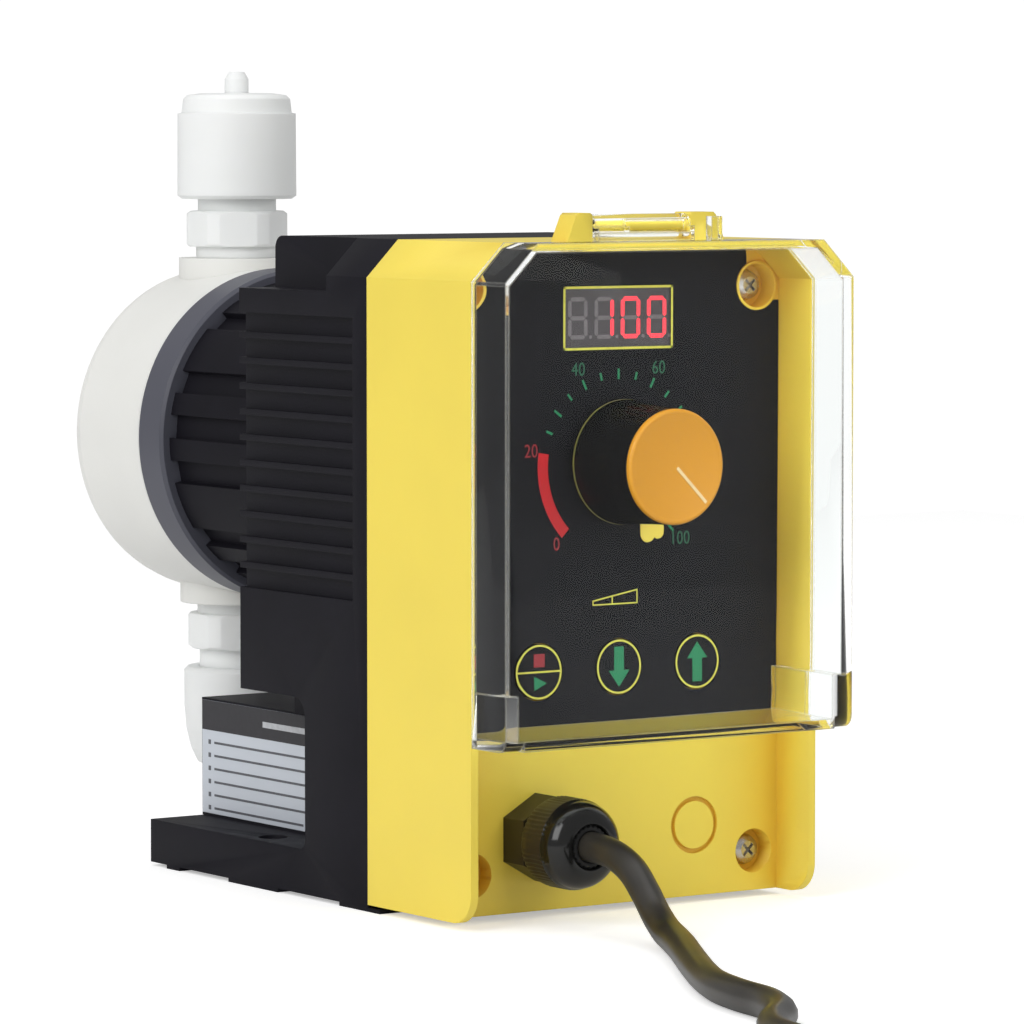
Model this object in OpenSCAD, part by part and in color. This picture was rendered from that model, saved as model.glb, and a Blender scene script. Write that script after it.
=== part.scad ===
// Solenoid diaphragm dosing pump, with its control box, hinged cover, valves, gland and mains lead.
// The origin is midway between the two mounting holes, on the surface that the foot pads stand on.
// X runs across the front (right when facing the panel), Y runs towards the pump head, Z runs up.

/* [Control box] */
// Width across the box
body_w = 96; // [92:0.5:100]
// Height of the top above the foot pads
body_top = 152.9; // [150:0.1:158]
// Chamfer along both top edges
edge_chamfer = 8.5; // [6:0.5:10]
// Depth of the front cover, from its front edge to the rear housing
cover_depth = 42; // [40:0.5:46]
// Depth of the panel behind the front edge
panel_recess = 12.2; // [11:0.2:14]
// From the mounting holes to the front edge
hole_to_front = 92.6; // [90:0.2:96]
// Wall thickness of the mouldings behind the panel
wall = 3; // [2.6:0.1:3.4]

/* [Base] */
// Distance between the mounting holes
hole_spacing = 83.4; // [80:0.2:85]
// Radius of the mounting holes
hole_r = 3.5; // [2.7:0.1:3.6]
// Height of the foot pads
pad_h = 0.9; // [0.6:0.1:2]
// Height of the base plate's top
plate_top = 11.3; // [10:0.1:12]

/* [Clear cover] */
// How far the clear cover stands in front of the box
lid_depth = 13.6; // [12:0.2:16]
// Height of its lower edge
lid_bottom = 41.3; // [40:0.1:44]
// Wall thickness of the clear cover
lid_wall = 2; // [1.8:0.1:2.4]

/* [Knob and keys] */
// Height of the knob's axis, which is the solenoid's axis too
axis_z = 102.5; // [101:0.5:104]
// Radius of the knob at its skirt
knob_r = 14.2; // [12:0.1:15]
// Distance between the centres of two keys
key_pitch = 22.3; // [20:0.1:24]
// Radius of a key
key_r = 6.3; // [5.5:0.1:6.5]
// How far a key travels
key_travel = 0.5; // [0.3:0.1:0.6]

/* [Solenoid and pump head] */
// Outer radius over the solenoid's ribs
solenoid_r = 38.5; // [37:0.5:40]
// Sets of three grooves round the solenoid
groove_sets = 6; // [4:1:6]
// Radius of the grey flange
flange_r = 41; // [40:0.5:43]
// Radius of the pump head
head_r = 40.5; // [40:0.5:42]
// Longest stroke of the armature
stroke = 1.5; // [0.8:0.1:1.6]

/* [Valves] */
// Radius of a union nut
nut_r = 14.8; // [14:0.1:15.5]
// Radius of a valve ball
ball_r = 4; // [3.5:0.1:4.1]

/* [Power cord] */
// Diameter of the cord
cord_d = 6.8; // [6:0.1:7]
// Radius of the coil's outermost turn
coil_r = 43.5; // [42:0.5:44]

/* [Hidden] */

$fn = 64;
eps = 0.01;
half_w = body_w / 2;

// Planes across the box, from front to back
y_front = -hole_to_front;
y_panel = y_front + panel_recess;
y_split = y_front + cover_depth;
y_band = y_split + 6;
y_collar = y_split + 17;
y_back = y_split + 54.8;
y_leg = y_split + 26.6;
y_plate = y_split + 96.4;
y_pedestal = y_split + 97;
y_flange = y_back + 47.9;
y_head = y_flange + 11.1;
y_head_end = y_head + 32.6;
y_valve = y_head + 19.8;

// Heights of the box
cover_z = pad_h + 0.7;
ledge_z = body_top - 12.1;
block_w = 38;
overhang_z = 46.6;
pedestal_w = 33;
pedestal_z = 40;
side_wall = wall + 0.6;

// Cover screws: places of the upper and lower pairs, [x, z]
screw_places = [[-39.3, 142], [39.3, 142], [-39.3, 10.8], [39.3, 10.8]];
screw_pocket = 4.5;
screw_pocket_r = 5.1;
y_screw = y_panel + screw_pocket;

// Panel
overlay_t = 0.4;
key_z = 55.6;
key_x = 0.2;
display_x = 0.3;
display_z = 135.2;
display_w = 30;
display_h = 14;
y_board = y_panel + 8.8;
board_t = 1.6;
board_screw_places = [[-37, 56], [37, 56], [-37, 130], [37, 130]];

// Hinge
hinge_y = y_front + 2;
hinge_z = body_top + 3.3;
hinge_pin_r = 1.3;
hinge_pin_x = [-19, 18];
knuckle_x = [-14.9, 11.5];
knuckle_r = 2.7;

// Solenoid, as distances behind the rear housing
sol_plate = 4;
yoke_r = 34;
bore_r = 12.6;
y_pole = y_back + 27.8;
y_core_end = y_back + 42.8;
rod_r = 3.5;
y_arm_end = y_pole - stroke - 0.3;
y_stop_tip = y_back - stroke - 0.5;

// Valves, as heights above the face of a port
port_h = body_top - 7.2;
port_r = 9.1;
seat_r = 6;
seat_hole_r = 2.8;
nipple_r = 3;
ball_rest = sqrt(ball_r * ball_r - seat_hole_r * seat_hole_r) + 0.03;

// Gland
gland_x = -22.3;
gland_z = 18.5;

// Power cord: its route where it isn't coiled, from inside the gland to the coil, and from the coil to the plug
cord_r = cord_d / 2;
cord_route = [
    [-22.3, -72, 18.5], [-22.3, -84, 18.5], [-22.3, -95, 18.5], [-22.3, -105, 18.5], [-22.3, -111.8, 17.6],
    [-22.4, -118.2, 15], [-22.9, -123.8, 10.8], [-24.1, -129.5, 6.7], [-26.1, -135.9, 4.2],
    [-28.8, -142.7, 3.4], [-34.7, -153.6, 3.4], [-41.1, -164.6, 3.4], [-47.6, -175.9, 3.4], [-54.4, -188.2, 3.4],
    [-60.3, -200.8, 3.4], [-63.4, -212.8, 3.4], [-65.2, -224.5, 3.4], [-70.5, -235.5, 3.4], [-79.7, -245, 3.4],
    [-86.3, -256.1, 3.4], [-87.6, -269.1, 3.4], [-83.2, -281.3, 3.4], [-74.1, -290.6, 3.4], [-62, -295.1, 3.4],
    [-49, -294.1, 3.4], [-37, -287.1, 3.4], [-31, -281.4, 3.4], [-25.1, -275.6, 3.4]
];
plug_route = [
    [48.5, -307, 10.2], [48.5, -314, 10.7], [48.5, -321, 12.4], [48.5, -328, 15], [48.5, -335, 17.2], [48.5, -342, 18]
];
coil_at = [5, -307];
coil_inner_r = 21.8;
plug_at = [48.5, -342, 18];

// Colours
black = [0.15, 0.15, 0.17];
yellow = [0.95, 0.86, 0.35];
white = [0.9, 0.9, 0.88];
steel = [0.72, 0.73, 0.75];
brass = [0.78, 0.66, 0.34];
copper = [0.72, 0.42, 0.25];

// ---------- Shapes that repeat ----------

// A profile drawn in X and Z, extruded from y0 to y1
module along_y(y0, y1) {
    translate([0, y1, 0]) rotate([90, 0, 0]) linear_extrude(y1 - y0) children();
}

// A cylinder along Y at (x, z)
module rod_y(r, y0, y1, x = 0, z = 0) {
    translate([x, y0, z]) rotate([-90, 0, 0]) cylinder(r = r, h = y1 - y0);
}

// A cylinder along X at (y, z)
module rod_x(r, x0, x1, y, z) {
    translate([x0, y, z]) rotate([0, 90, 0]) cylinder(r = r, h = x1 - x0);
}

// A tube along Y
module tube_y(r_out, r_in, y0, y1, x = 0, z = 0) {
    difference() {
        rod_y(r_out, y0, y1, x, z);
        rod_y(r_in, y0 - 1, y1 + 1, x, z);
    }
}

// A block between two corners
module block(a, b) {
    translate(a) cube(b - a);
}

// The box's outline, inset all round, from the height low to the top
module box_outline(inset, low) {
    w = half_w - inset;
    t = body_top - inset;
    c = edge_chamfer - 0.586 * inset;
    polygon([[-w, low], [w, low], [w, t - c], [w - c, t], [c - w, t], [-w, t - c]]);
}

// The rear body's outline: a ledge on each side and a taller block between
module rear_outline(inset_x, inset_z) {
    w = half_w - inset_x;
    b = block_w - inset_x;
    polygon([
        [-w, overhang_z + inset_z], [w, overhang_z + inset_z], [w, ledge_z - inset_z], [b, ledge_z - inset_z],
        [b, body_top - inset_z], [-b, body_top - inset_z], [-b, ledge_z - inset_z], [-w, ledge_z - inset_z]
    ]);
}

// Both sides: the children and their mirror image
module both_sides() {
    children();
    mirror([1, 0, 0]) children();
}

// A hexagonal prism along Y, its size across flats
module hex_y(flats, y0, y1, x = 0, z = 0) {
    translate([x, y0, z]) rotate([-90, 0, 0]) cylinder(r = flats / sqrt(3), h = y1 - y0, $fn = 6);
}

// A pan head screw along Y with a cross recess, its head at y and its tip further back
module pan_screw(head_r, head_h, shank_r, length) {
    difference() {
        union() {
            rotate([-90, 0, 0]) rotate_extrude() polygon([
                [0, -head_h], [head_r * 0.55, -head_h], [head_r * 0.88, -head_h * 0.7],
                [head_r, -head_h * 0.25], [head_r, 0], [shank_r, 0], [shank_r, length - shank_r],
                [shank_r * 0.5, length], [0, length]
            ]);
        }
        for (turn = [45, 135])
            rotate([0, turn, 0]) translate([-head_r * 0.5, -head_h - 1, -0.35]) cube([head_r, 1 + head_h * 0.6, 0.7]);
    }
}

// A socket head bolt along Y: the head stands behind y, the shank runs forward
module socket_bolt(head_r, head_h, shank_r, length) {
    difference() {
        union() {
            rod_y(head_r, 0, head_h);
            rod_y(shank_r, -length, eps);
        }
        hex_y(head_r * 0.85, head_h * 0.45, head_h + 1);
    }
}

// A tube swept along points, one ring of sides at each point
function unit(v) = v / norm(v);
function heading(p, i) = unit(p[min(i + 1, len(p) - 1)] - p[max(i - 1, 0)]);
function side_of(t) = unit(cross(t, abs(t[2]) > 0.9 ? [1, 0, 0] : [0, 0, 1]));
module swept_tube(points, r, sides) {
    rings = [for (i = [0:len(points) - 1])
        let (t = heading(points, i), s = side_of(t), u = cross(s, t))
        for (k = [0:sides - 1]) points[i] + r * (cos(360 * k / sides) * s + sin(360 * k / sides) * u)];
    n = len(points);
    walls = [for (i = [0:n - 2], k = [0:sides - 1])
        let (a = i * sides + k, b = i * sides + (k + 1) % sides)
        [a, b, b + sides, a + sides]];
    ends = [[for (k = [0:sides - 1]) sides - 1 - k], [for (k = [0:sides - 1]) (n - 1) * sides + k]];
    polyhedron(points = rings, faces = concat(walls, ends), convexity = 6);
}

// ---------- Casings ----------

// Side grooves that leave cooling fins between them
module fin_grooves() {
    groove_h = 4.5;
    pitch = 6;
    first = 70.6;
    depth = 1.8;
    for (i = [0:10])
        block([half_w - depth, y_band, first + i * pitch], [half_w + 1, y_back + 1, first + i * pitch + groove_h]);
}

// The space inside the rear housing
module housing_cavity() {
    along_y(y_split - 1, y_collar - wall) box_outline(side_wall, overhang_z + wall);
    along_y(y_split, y_back - wall) rear_outline(side_wall, wall);
    block([side_wall - half_w, y_split - 1, pad_h + wall], [half_w - side_wall, y_leg - wall, overhang_z + wall + eps]);
    block([wall - pedestal_w, y_split, plate_top + wall], [pedestal_w - wall, y_pedestal - wall, pedestal_z - wall]);
}

// Cored pockets under the base plate, in two rows with a rib between them
module plate_pockets() {
    for (i = [0:2])
        both_sides() block([1.2, y_leg + 4 + i * 22, -1], [28, y_leg + 22 + i * 22, plate_top - wall]);
}

module foot_pads() {
    both_sides() {
        block([half_w - 12, y_split - 5, 0], [half_w, y_split + 12, pad_h + eps]);
        block([half_w - 14, -12, 0], [half_w, 10, pad_h + eps]);
        block([half_w - 14, y_plate - 13.4, 0], [half_w, y_plate - 7.4, pad_h + eps]);
    }
}

// Rounds off the edge of the raised block at the rear
module block_edge_cut(r) {
    difference() {
        block([-half_w, y_back - r, body_top - r], [half_w, y_back + 1, body_top + 1]);
        translate([-half_w - 1, y_back - r, body_top - r]) rotate([0, 90, 0]) cylinder(r = r, h = body_w + 2);
    }
}

// The hollow on each side below the body, rounded at its front end
module side_niche() {
    upper = 4.5;
    lower = 2.5;
    difference() {
        block([pedestal_w, y_leg, plate_top], [half_w + 1, y_pedestal + 5, overhang_z]);
        difference() {
            block([pedestal_w, y_leg, overhang_z - upper], [half_w + 1, y_leg + upper, overhang_z + 1]);
            rod_x(upper, pedestal_w - 1, half_w + 2, y_leg + upper, overhang_z - upper);
        }
        difference() {
            block([pedestal_w, y_leg, plate_top - 1], [half_w + 1, y_leg + lower, plate_top + lower]);
            rod_x(lower, pedestal_w - 1, half_w + 2, y_leg + lower, plate_top + lower);
        }
    }
}

module rear_housing() {
    color(black) difference() {
        union() {
            difference() {
                union() {
                    along_y(y_split, y_collar) box_outline(0, overhang_z);
                    along_y(y_collar - eps, y_back) rear_outline(0, 0);
                    block([-half_w, y_split, pad_h], [half_w, y_leg + 8, overhang_z + eps]);
                    block([-half_w, y_split, pad_h], [half_w, y_plate, plate_top]);
                    block([-pedestal_w, y_leg, plate_top - eps], [pedestal_w, y_back, overhang_z + eps]);
                    block([-pedestal_w, y_leg, plate_top - eps], [pedestal_w, y_pedestal, pedestal_z]);
                    foot_pads();
                }
                housing_cavity();
                plate_pockets();
                both_sides() {
                    fin_grooves();
                    side_niche();
                }
                block_edge_cut(3);
            }
            for (p = screw_places)
                rod_y(4.5, y_split, (p[1] > overhang_z ? y_collar : y_leg) - wall + eps, p[0], p[1]);
            block([-34, y_back - wall - 8, 62], [-28, y_back - wall + eps, 68]);
            block([28, y_back - wall - 8, 62], [34, y_back - wall + eps, 68]);
        }
        for (p = screw_places)
            rod_y(2.05, y_split - 1, y_collar - wall - 2, p[0], p[1]);
        rod_y(16, y_back - wall - 1, y_back + 1, 0, axis_z);
        for (a = [45:90:315])
            rod_y(2.2, y_back - wall - 1, y_back + 1, 29 * cos(a), axis_z + 29 * sin(a));
        both_sides() translate([hole_spacing / 2, 0, -1]) cylinder(r = hole_r, h = plate_top + 2);
    }
}

// Side and top walls in front of the panel, with rounded lower corners
module front_fence() {
    corner = 7;
    difference() {
        along_y(y_front, y_panel + eps) box_outline(0, cover_z);
        along_y(y_front - 1, y_panel + 1) box_outline(lid_wall, cover_z - 1);
        difference() {
            block([-half_w - 1, y_front - 1, cover_z - 1], [half_w + 1, y_front + corner, cover_z + corner]);
            translate([-half_w - 2, y_front + corner, cover_z + corner]) rotate([0, 90, 0])
                cylinder(r = corner, h = body_w + 4);
        }
    }
}

// The outline of one lug: upright on the knuckle's side, slanted on the other
module lug_outline(inner, outer) {
    out = sign(outer);
    top = body_top + 6.3;
    polygon([[inner, body_top - 1], [outer, body_top - 1], [outer, body_top], [outer - out * 2.4, top - 0.6],
             [outer - out * 3.1, top], [inner + out * 0.6, top], [inner, top - 0.6]]);
}

module hinge_lugs() {
    along_y(y_front, y_front + 6.4) {
        lug_outline(-15.2, -22);
        lug_outline(11.8, 21.4);
    }
}

// The land behind the knob, with a tab at its lower right that ends in two small lobes
module knob_land(y0, y1, grow = 0) {
    rod_y(knob_r - 2.7 + grow, y0, y1, 0, axis_z);
    block([6.6 - grow, y0, axis_z - 16.6], [13.2 + grow, y1, axis_z - 6]);
    rod_y(2.1 + grow, y0, y1, 8.7, axis_z - 16.7);
    rod_y(1.6 + grow, y0, y1, 11.6, axis_z - 16.5);
}

module front_cover() {
    color(yellow) difference() {
        union() {
            front_fence();
            difference() {
                along_y(y_panel, y_split) box_outline(0, cover_z);
                along_y(y_panel + wall, y_split + 1) box_outline(wall, cover_z + wall);
            }
            hinge_lugs();
            knob_land(y_panel - overlay_t, y_panel + eps);
            for (p = screw_places)
                rod_y(screw_pocket_r + 1.7, y_panel + 1, y_split, p[0], p[1]);
            for (p = [screw_places[0], screw_places[1]])
                rod_y(screw_pocket_r + 0.6, y_panel - 0.6, y_panel + 1, p[0], p[1]);
            for (p = board_screw_places)
                rod_y(3.5, y_panel + 1, y_board, p[0], p[1]);
        }
        for (p = screw_places) {
            rod_y(screw_pocket_r, y_panel - 1, y_screw, p[0], p[1]);
            rod_y(2.2, y_panel, y_split + 1, p[0], p[1]);
        }
        for (p = board_screw_places)
            rod_y(1.5, y_board - 6, y_board + 1, p[0], p[1]);
        block([display_x - display_w / 2 - 0.3, y_panel - 1, display_z - display_h / 2 - 0.3],
              [display_x + display_w / 2 + 0.3, y_panel + wall + 1, display_z + display_h / 2 + 0.3]);
        for (i = [-1:1]) {
            rod_y(key_r + 0.4, y_panel - 1, y_panel + 1.6, key_x + i * key_pitch, key_z);
            rod_y(2.4, y_panel - 1, y_panel + wall + 1, key_x + i * key_pitch, key_z);
        }
        rod_y(5, y_panel - 1, y_panel + wall + 1, 0, axis_z);
        rod_y(7.8, y_panel - 1, y_panel + wall + 1, gland_x, gland_z);
        tube_y(6.6, 5.5, y_panel - 1, y_panel + 1, -gland_x, gland_z - 0.5);
        rod_x(hinge_pin_r, hinge_pin_x[0], hinge_pin_x[1], hinge_y, hinge_z);
        along_y(y_split - 1.2, y_split + 1) difference() {
            box_outline(0.9, cover_z + 0.9);
            box_outline(2.1, cover_z + 2.1);
        }
    }
}

module housing_gasket() {
    color([0.2, 0.2, 0.2]) along_y(y_split - 1.15, y_split) difference() {
        box_outline(0.95, cover_z + 0.95);
        box_outline(2.05, cover_z + 2.05);
    }
}

module cover_screws() {
    color(steel) for (p = screw_places)
        translate([p[0], y_screw, p[1]]) pan_screw(3.6, 2.5, 2, y_collar - wall - 4 - y_screw);
}

module base_label() {
    color([0.77, 0.8, 0.84]) block([-pedestal_w - 0.25, y_leg + 1, plate_top + 0.7],
                                   [-pedestal_w, y_pedestal - 0.5, pedestal_z - 0.5]);
}

// ---------- Clear cover ----------

module lid_outline(inset) {
    w = half_w - inset;
    t = body_top - inset;
    c = edge_chamfer - 0.586 * inset;
    polygon([[-w, lid_bottom + inset], [w, lid_bottom + inset], [w, t - c], [w - c, t], [c - w, t], [-w, t - c]]);
}

module clear_cover() {
    y_lid = y_front - lid_depth;
    corner_top = lid_bottom + 12.2;
    tongue_x = half_w - lid_wall - 0.4;
    color([0.85, 0.9, 0.92, 0.35]) difference() {
        union() {
            difference() {
                along_y(y_lid, y_front - 0.3) lid_outline(0);
                along_y(y_lid + lid_wall, y_front + 1) lid_outline(lid_wall);
            }
            block([-tongue_x, y_lid + 1, lid_bottom], [tongue_x, y_panel - overlay_t - 0.8, lid_bottom + lid_wall]);
            both_sides() {
                block([half_w - 4, y_lid, lid_bottom], [half_w, y_front - 0.3, corner_top]);
                block([tongue_x - lid_wall, y_lid + 1, lid_bottom], [tongue_x, y_panel - overlay_t - 0.8, corner_top]);
            }
            rod_x(knuckle_r, knuckle_x[0], knuckle_x[1], hinge_y, hinge_z);
            block([knuckle_x[0], hinge_y - knuckle_r - 1.4, body_top - 1], [knuckle_x[1], y_front - 0.3, hinge_z]);
            block([14.4, y_front - 4.6, body_top - 1], [17.4, y_front - 2.5, body_top + 5.4]);
        }
        rod_x(hinge_pin_r + 0.05, knuckle_x[0] - 1, knuckle_x[1] + 1, hinge_y, hinge_z);
        block([-6.5, hinge_y - knuckle_r - 2, hinge_z - 1.4],
              [knuckle_x[1] - 1.2, hinge_y - hinge_pin_r + 0.3, hinge_z + 1.4]);
        block([-half_w - 1, y_front - 0.3, lid_bottom - 1], [half_w + 1, y_front + 3, lid_bottom - eps]);
        both_sides() difference() {
            block([half_w - 5, y_lid - 1, lid_bottom - 1], [half_w + 1, y_lid + 3, lid_bottom + 3]);
            translate([half_w - 6, y_lid + 3, lid_bottom + 3]) rotate([0, 90, 0]) cylinder(r = 3, h = 8);
        }
    }
}

module hinge_pin() {
    color(yellow) rod_x(hinge_pin_r, hinge_pin_x[0], hinge_pin_x[1], hinge_y, hinge_z);
}

// ---------- Panel ----------

module panel_overlay() {
    right = half_w - lid_wall - 0.3;
    top = body_top - lid_wall - 0.3;
    color([0.13, 0.13, 0.14]) difference() {
        intersection() {
            along_y(y_panel - overlay_t, y_panel) box_outline(lid_wall + 0.3, lid_bottom + 0.7);
            block([-right, y_panel - 1, lid_bottom + 0.7], [right, y_panel + 1, top]);
        }
        for (p = [screw_places[0], screw_places[1]])
            rod_y(screw_pocket_r + 0.7, y_panel - 1, y_panel + 1, p[0], p[1]);
        both_sides() {
            block([36.4, y_panel - 1, screw_places[1][1]], [right + 1, y_panel + 1, top + 1]);
            block([41.6, y_panel - 1, screw_places[1][1] - 3.4], [right + 1, y_panel + 1, top + 1]);
        }
        knob_land(y_panel - 1, y_panel + 1, 0.1);
        block([display_x - display_w / 2, y_panel - 1, display_z - display_h / 2],
              [display_x + display_w / 2, y_panel + 1, display_z + display_h / 2]);
        for (i = [-1:1])
            rod_y(key_r + 0.3, y_panel - 1, y_panel + 1, key_x + i * key_pitch, key_z);
    }
}

// A round key on a stem, at a column of the keypad from -1 to 1
module key_at(column) {
    x = key_x + column * key_pitch;
    color([0.13, 0.13, 0.14]) {
        rod_y(key_r, y_panel - overlay_t - 0.2, y_panel + 0.8, x, key_z);
        rod_y(1.8, y_panel + 0.8 - eps, y_board - 5.4, x, key_z);
    }
}

module key_start() { key_at(-1); }

module key_down() { key_at(0); }

module key_up() { key_at(1); }

module display_window() {
    gap = 0.05;
    color([0.35, 0.33, 0.34, 0.6])
        block([display_x - display_w / 2 + gap, y_panel - overlay_t, display_z - display_h / 2 + gap],
              [display_x + display_w / 2 - gap, y_panel, display_z + display_h / 2 - gap]);
}

module display_module() {
    color([0.3, 0.3, 0.3])
        block([display_x - display_w / 2, y_panel + 0.1, display_z - display_h / 2],
              [display_x + display_w / 2, y_board, display_z + display_h / 2]);
}

module circuit_board() {
    color([0.1, 0.35, 0.2]) difference() {
        block([-41, y_board, 50], [41, y_board + board_t, 146]);
        rod_y(8, y_board - 1, y_board + board_t + 1, 0, axis_z);
        for (p = board_screw_places)
            rod_y(1.7, y_board - 1, y_board + board_t + 1, p[0], p[1]);
        both_sides() block([31.5, y_board - 1, 134.5], [42, y_board + board_t + 1, 147]);
    }
}

module board_screws() {
    color(steel) for (p = board_screw_places)
        translate([p[0], y_board + board_t, p[1]]) mirror([0, 1, 0]) pan_screw(2.8, 1.8, 1.45, 6.4);
}

module tact_switches() {
    color([0.2, 0.2, 0.2]) for (i = [-1:1]) {
        x = key_x + i * key_pitch;
        block([x - 3, y_board - 3.5, key_z - 3], [x + 3, y_board, key_z + 3]);
        rod_y(1.75, y_board - 4.8, y_board - 3.5 + eps, x, key_z);
    }
}

module power_board() {
    y = y_back - wall - 9.6;
    color([0.1, 0.35, 0.2]) difference() {
        block([-40, y, 54], [40, y + board_t, 84]);
        for (s = [-1, 1])
            rod_y(1.6, y - 1, y + board_t + 1, s * 31, 65);
    }
}

module capacitors() {
    y = y_back - wall - 9.6;
    color([0.15, 0.2, 0.3]) for (x = [-14, 2])
        rod_y(6, y - 20, y, x, 74);
}

// ---------- Stroke knob ----------

module knob_body() {
    y_skirt = y_panel - 3;
    y_top = y_panel - 21.8;
    color([0.06, 0.06, 0.07]) difference() {
        translate([0, y_skirt, axis_z]) rotate([90, 0, 0]) rotate_extrude() polygon([
            [3, 0], [knob_r, 0], [knob_r, 1.2], [knob_r - 0.3, 1.6], [knob_r - 1.2, y_skirt - y_top - 0.4],
            [knob_r - 1.6, y_skirt - y_top], [knob_r - 2.2, y_skirt - y_top],
            [knob_r - 2.2, y_skirt - y_top - 2], [3, y_skirt - y_top - 2]
        ]);
        rod_y(knob_r - 2.4, y_skirt - 9, y_skirt + 1, 0, axis_z);
    }
    color([0.06, 0.06, 0.07]) tube_y(5.6, 3, y_skirt - 10, y_skirt, 0, axis_z);
}

module knob_cap() {
    y_seat = y_panel - 19.8;
    color([0.88, 0.64, 0.12]) translate([0, y_seat, axis_z]) rotate([90, 0, 0]) rotate_extrude() polygon([
        [0, 0], [knob_r - 2.25, 0], [knob_r - 2.25, 2], [knob_r - 1.2, 2.05], [knob_r - 1.2, 2.8], [knob_r - 1.7, 3.3],
        [0, 3.3]
    ]);
}

module stroke_spindle() {
    color(steel) {
        rod_y(3, y_panel - 17.8, y_back - 19, 0, axis_z);
        rod_y(4, y_back - 19 - eps, y_stop_tip - 3, 0, axis_z);
        rod_y(5, y_panel + 7.2, y_panel + 8.4, 0, axis_z);
    }
}

module spindle_bush() {
    color(brass) difference() {
        union() {
            rod_y(4.9, y_panel - 2.6, y_panel + 7, 0, axis_z);
            hex_y(13, y_panel + wall + 0.2, y_panel + 6, 0, axis_z);
        }
        rod_y(3.05, y_panel - 4, y_panel + 9, 0, axis_z);
    }
}

module stroke_stop() {
    y0 = y_back - 15;
    color(steel) difference() {
        union() {
            rod_y(7, y0, y_stop_tip, 0, axis_z);
            block([-8.6, y0, axis_z - 1.4], [8.6, y_stop_tip - 3, axis_z + 1.4]);
        }
        rod_y(4.05, y0 - 1, y_stop_tip - 1.2, 0, axis_z);
    }
}

module stop_guide() {
    color(brass) difference() {
        union() {
            rod_y(11, y_back - 17, y_back - wall, 0, axis_z);
            rod_y(20, y_back - wall - 2.4, y_back - wall, 0, axis_z);
        }
        rod_y(7.4, y_back - 18, y_back + 4, 0, axis_z);
        block([-9, y_back - 18, axis_z - 1.8], [9, y_back + 4, axis_z + 1.8]);
    }
}

// ---------- Solenoid ----------

module solenoid_housing() {
    color(black) difference() {
        union() {
            difference() {
                rod_y(solenoid_r, y_back, y_flange, 0, axis_z);
                for (i = [0:groove_sets - 1], a = [-16.6, 0, 16.6])
                    translate([0, 0, axis_z]) rotate([0, 5 + a + i * 360 / groove_sets, 0])
                        block([solenoid_r - 2, y_back - 1, -2.85], [solenoid_r + 2, y_flange + 1, 2.85]);
            }
            rod_y(solenoid_r - 0.4, y_back, y_back + 2.5, 0, axis_z);
        }
        rod_y(yoke_r + 0.2, y_back + sol_plate, y_flange + 1, 0, axis_z);
        rod_y(16, y_back - 1, y_back + sol_plate + 1, 0, axis_z);
        for (a = [45:90:315])
            rod_y(2.2, y_back - 1, y_back + sol_plate + 1, 29 * cos(a), axis_z + 29 * sin(a));
    }
}

module solenoid_screws() {
    color(steel) for (a = [45:90:315])
        translate([29 * cos(a), y_back - wall, axis_z + 29 * sin(a)]) pan_screw(3.6, 2.5, 2, 10.6);
}

module magnet_yoke() {
    y0 = y_back + sol_plate + 0.1;
    color(steel) difference() {
        rod_y(yoke_r, y0, y_core_end, 0, axis_z);
        rod_y(30, y0 + 4, y_core_end + 1, 0, axis_z);
        rod_y(bore_r + 0.2, y0 - 1, y0 + 5, 0, axis_z);
        for (a = [45:90:315])
            rod_y(2.05, y0 - 1, y0 + 5, 29 * cos(a), axis_z + 29 * sin(a));
    }
}

module coil_bobbin() {
    y0 = y_back + sol_plate + 4.2;
    color([0.9, 0.88, 0.8]) {
        tube_y(14, bore_r, y0, y_core_end - 0.1, 0, axis_z);
        tube_y(29.7, 14 - eps, y0, y0 + 1.6, 0, axis_z);
        tube_y(29.7, 14 - eps, y_core_end - 1.7, y_core_end - 0.1, 0, axis_z);
    }
}

module coil_winding() {
    y0 = y_back + sol_plate + 5.9;
    color(copper) tube_y(28.4, 14.05, y0, y_core_end - 1.8, 0, axis_z);
}

module pole_core() {
    color(steel) difference() {
        union() {
            rod_y(yoke_r, y_core_end, y_flange, 0, axis_z);
            rod_y(bore_r - 0.2, y_pole, y_core_end + eps, 0, axis_z);
        }
        rod_y(6, y_pole - 1, y_flange + 1, 0, axis_z);
        rod_y(9.5, y_pole - 1, y_pole + 8, 0, axis_z);
        for (a = [0:90:270])
            rod_y(2.05, y_core_end + 1, y_flange + 1, 20 * cos(a), axis_z + 20 * sin(a));
    }
}

module armature() {
    color(steel) difference() {
        rod_y(bore_r - 0.4, y_back, y_arm_end, 0, axis_z);
        rod_y(rod_r, y_back + 10, y_arm_end + 1, 0, axis_z);
    }
}

module push_rod() {
    color(steel) rod_y(rod_r, y_back + 10, y_head - 2, 0, axis_z);
}

module guide_bush() {
    color(brass) tube_y(6, rod_r + 0.05, y_pole + 8.2, y_flange - 0.6, 0, axis_z);
}

module return_spring() {
    turns = 4;
    steps = 14;
    wire_r = 0.6;
    y0 = y_arm_end + wire_r + 0.1;
    y1 = y_pole + 8 - wire_r - 0.1;
    color(steel) swept_tube([for (i = [0:turns * steps])
        let (a = i * 360 / steps)
        [7 * cos(a), y0 + (y1 - y0) * i / (turns * steps), axis_z + 7 * sin(a)]], wire_r, 8);
}

// ---------- Pump head ----------

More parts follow.
